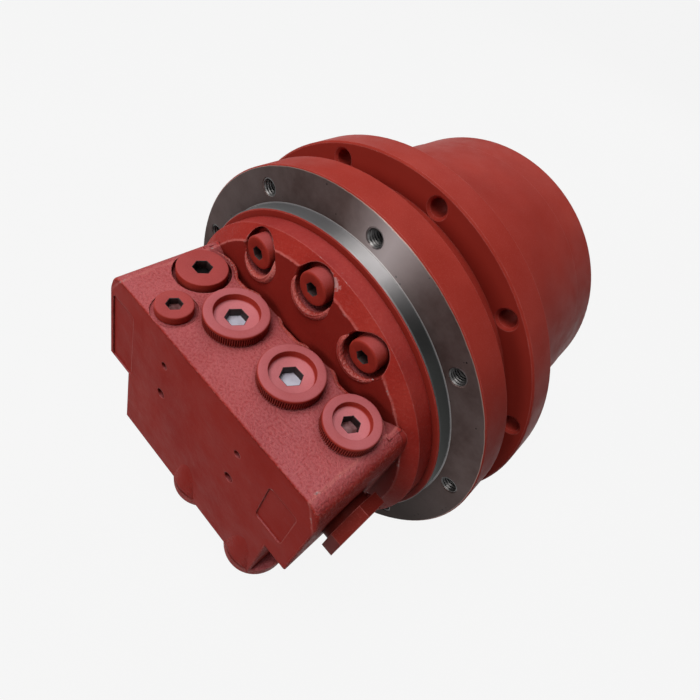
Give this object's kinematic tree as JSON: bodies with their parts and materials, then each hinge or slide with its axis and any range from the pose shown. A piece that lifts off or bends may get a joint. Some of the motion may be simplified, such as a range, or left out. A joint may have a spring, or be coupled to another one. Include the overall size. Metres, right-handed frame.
{
  "type": "excavator final drive",
  "caption": "Track drive: hydraulic piston motor with a plugged valve head, a flanged frame housing, and a turning drum with sprocket flange around two planetary stages",
  "frame": {"origin": "centre of the machined face that bolts to the track frame", "axes": "+Y along the drive axis toward the drum, +Z out of the plug face of the motor head, +X to the right seen from the motor"},
  "size_m": [0.253, 0.2775, 0.253],
  "materials": {
    "red_primer": "satin red-oxide primer over cast iron",
    "machined_iron": "turned face and pilot, red-oxide primer on the rim",
    "screw_steel": "socket screws painted over",
    "hardened_steel": "ground and hardened",
    "plated_steel": "zinc plated",
    "bronze": "machined bearing bronze",
    "friction_lining": "sintered lining",
    "rubber": "moulded seal rubber"
  },
  "bodies": {
    "housing": {"frame_housing": "machined_iron", "motor_head": "red_primer", "head_screws": "screw_steel", "relief_plugs": "red_primer", "shuttle_plug": "red_primer", "speed_plug": "red_primer", "gauge_plug": "red_primer", "spool_caps": "red_primer", "head_o_ring": "rubber", "relief_valves": "hardened_steel", "rear_bush": "bronze", "valve_plate": "bronze", "front_bearing_ring": "hardened_steel", "shaft_seal": "rubber", "swash_pivots": "hardened_steel", "brake_steel_plates": "hardened_steel", "main_bearing_inner_rings": "hardened_steel", "bearing_nut": "plated_steel", "second_planet_pins": "hardened_steel", "fixed_seal_ring": "hardened_steel", "fixed_seal_toric": "rubber"},
    "drum": {"hub": "red_primer", "end_cover": "red_primer", "cover_snap_ring": "plated_steel", "oil_plugs": "plated_steel", "ring_gear": "hardened_steel", "main_bearing_outer_rings": "hardened_steel", "cover_o_ring": "rubber", "thrust_button": "bronze", "turning_seal_ring": "hardened_steel", "turning_seal_toric": "rubber"},
    "main_rollers": {"main_bearing_rollers": "hardened_steel", "main_bearing_cages": "hardened_steel"},
    "front_rollers": {"front_bearing_rollers": "hardened_steel"},
    "rotor": {"motor_shaft": "hardened_steel", "cylinder_block": "hardened_steel", "pistons": "hardened_steel", "piston_shoes": "bronze", "shoe_retainer": "hardened_steel", "brake_friction_discs": "friction_lining", "drive_gear": "hardened_steel"},
    "carrier": {"first_carrier": "hardened_steel", "second_sun_gear": "hardened_steel", "first_planet_pins": "hardened_steel"},
    "planet_1a": {"first_planet_1": "hardened_steel"},
    "planet_1b": {"first_planet_2": "hardened_steel"},
    "planet_1c": {"first_planet_3": "hardened_steel"},
    "planet_2a": {"second_planet_1": "hardened_steel"},
    "planet_2b": {"second_planet_2": "hardened_steel"},
    "planet_2c": {"second_planet_3": "hardened_steel"},
    "swash": {"swash_plate": "hardened_steel"},
    "speed_ram": {"speed_piston": "hardened_steel"},
    "counterbalance": {"counterbalance_spool": "hardened_steel", "spool_springs": "hardened_steel"},
    "speed_valve": {"speed_spool": "hardened_steel", "speed_spring": "hardened_steel"},
    "brake": {"brake_piston": "hardened_steel", "brake_spring": "hardened_steel"}
  },
  "joints": [
    {"name": "drum_spin", "type": "hinge", "parent": "housing", "child": "drum", "pos_m": [0, 0.06, 0], "axis": [0, 1, 0], "continuous": true},
    {"name": "main_rollers_spin", "type": "hinge", "parent": "housing", "child": "main_rollers", "pos_m": [0, 0.06, 0], "axis": [0, 1, 0], "continuous": true},
    {"name": "front_rollers_spin", "type": "hinge", "parent": "housing", "child": "front_rollers", "pos_m": [0, 0.085, 0], "axis": [0, 1, 0], "continuous": true},
    {"name": "rotor_spin", "type": "hinge", "parent": "housing", "child": "rotor", "pos_m": [0, 0.03, 0], "axis": [0, 1, 0], "continuous": true},
    {"name": "carrier_spin", "type": "hinge", "parent": "housing", "child": "carrier", "pos_m": [0, 0.129, 0], "axis": [0, 1, 0], "continuous": true},
    {"name": "planet_1a_spin", "type": "hinge", "parent": "carrier", "child": "planet_1a", "pos_m": [0, 0.143, 0.054], "axis": [0, 1, 0], "continuous": true},
    {"name": "planet_2a_spin", "type": "hinge", "parent": "housing", "child": "planet_2a", "pos_m": [0, 0.111, 0.054], "axis": [0, 1, 0], "continuous": true},
    {"name": "planet_1b_spin", "type": "hinge", "parent": "carrier", "child": "planet_1b", "pos_m": [0.04677, 0.143, -0.027], "axis": [0, 1, 0], "continuous": true},
    {"name": "planet_2b_spin", "type": "hinge", "parent": "housing", "child": "planet_2b", "pos_m": [0.04677, 0.111, -0.027], "axis": [0, 1, 0], "continuous": true},
    {"name": "planet_1c_spin", "type": "hinge", "parent": "carrier", "child": "planet_1c", "pos_m": [-0.04677, 0.143, -0.027], "axis": [0, 1, 0], "continuous": true},
    {"name": "planet_2c_spin", "type": "hinge", "parent": "housing", "child": "planet_2c", "pos_m": [-0.04677, 0.111, -0.027], "axis": [0, 1, 0], "continuous": true},
    {"name": "swash_tilt", "type": "hinge", "parent": "housing", "child": "swash", "pos_m": [0, 0.0705, 0], "axis": [-1, 0, 0], "range_deg": [0, 5]},
    {"name": "speed_ram_slide", "type": "slide", "parent": "housing", "child": "speed_ram", "axis": [0, -1, 0], "range_m": [0, 0.0033]},
    {"name": "counterbalance_slide", "type": "slide", "parent": "housing", "child": "counterbalance", "axis": [1, 0, 0], "range_m": [-0.004, 0.004], "stiffness_N_per_m": 2000},
    {"name": "speed_valve_slide", "type": "slide", "parent": "housing", "child": "speed_valve", "axis": [0, 0, 1], "range_m": [0, 0.004], "stiffness_N_per_m": 400, "springref_m": -0.005},
    {"name": "brake_release", "type": "slide", "parent": "housing", "child": "brake", "axis": [0, -1, 0], "range_m": [0, 0.0015], "stiffness_N_per_m": 20000, "springref_m": -0.002}
  ],
  "couplings": [
    {"joint": "main_rollers_spin", "follows": "drum_spin", "ratio": 0.52485},
    {"joint": "rotor_spin", "follows": "drum_spin", "ratio": -35},
    {"joint": "front_rollers_spin", "follows": "drum_spin", "ratio": -14.538},
    {"joint": "carrier_spin", "follows": "drum_spin", "ratio": -5},
    {"joint": "planet_1a_spin", "follows": "drum_spin", "ratio": 15},
    {"joint": "planet_2a_spin", "follows": "drum_spin", "ratio": 2.5},
    {"joint": "planet_1b_spin", "follows": "drum_spin", "ratio": 15},
    {"joint": "planet_2b_spin", "follows": "drum_spin", "ratio": 2.5},
    {"joint": "planet_1c_spin", "follows": "drum_spin", "ratio": 15},
    {"joint": "planet_2c_spin", "follows": "drum_spin", "ratio": 2.5},
    {"joint": "speed_ram_slide", "follows": "swash_tilt", "m_per_rad": 0.036}
  ]
}
